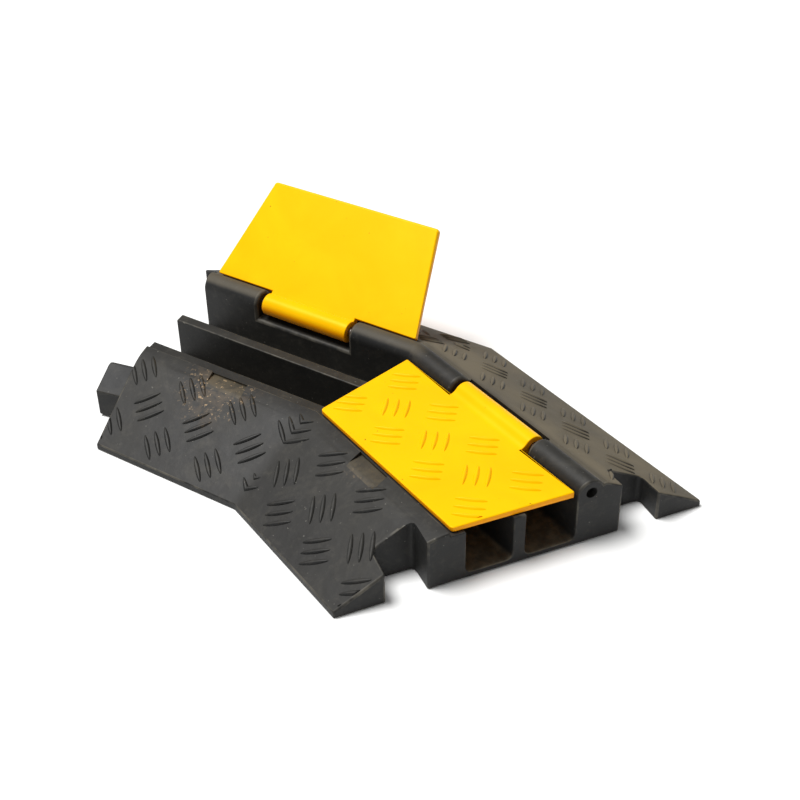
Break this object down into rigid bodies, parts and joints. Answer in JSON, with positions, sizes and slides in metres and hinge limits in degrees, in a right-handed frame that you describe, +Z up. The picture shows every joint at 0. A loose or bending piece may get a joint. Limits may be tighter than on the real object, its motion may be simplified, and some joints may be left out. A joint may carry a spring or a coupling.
{
  "type": "cable protector ramp",
  "caption": "Rubber cable protector ramp, corner section: cable channels under hinged lids between sloped treaded ramps, with sockets at one end and tabs at the other to join its neighbours.",
  "frame": {"origin": "on the ground, at the middle of the mitre plane between the two legs", "axes": "+X along the ramp towards the socket end, +Y towards the outside of the bend where the hinges are, +Z up"},
  "size_m": [0.4393, 0.2786, 0.105],
  "materials": {
    "black_rubber": "matt moulded rubber, dusty",
    "yellow_plastic": "semi-gloss moulded plastic",
    "pin_steel": "drawn rod"
  },
  "bodies": {
    "body": {"rubber_body": "black_rubber", "hinge_pin_socket_leg": "pin_steel", "hinge_pin_tab_leg": "pin_steel"},
    "socket_leg_lid": {"lid_socket_leg": "yellow_plastic"},
    "tab_leg_lid": {"lid_tab_leg": "yellow_plastic"}
  },
  "joints": [
    {"name": "socket_leg_lid_hinge", "type": "hinge", "parent": "body", "child": "socket_leg_lid", "pos_m": [0.09258, 0.02543, 0.039], "axis": [-0.9808, 0.1951, 0], "range_deg": [0, 135]},
    {"name": "tab_leg_lid_hinge", "type": "hinge", "parent": "body", "child": "tab_leg_lid", "pos_m": [-0.09258, 0.02543, 0.039], "axis": [-0.9808, -0.1951, 0], "range_deg": [-135, 0]}
  ]
}
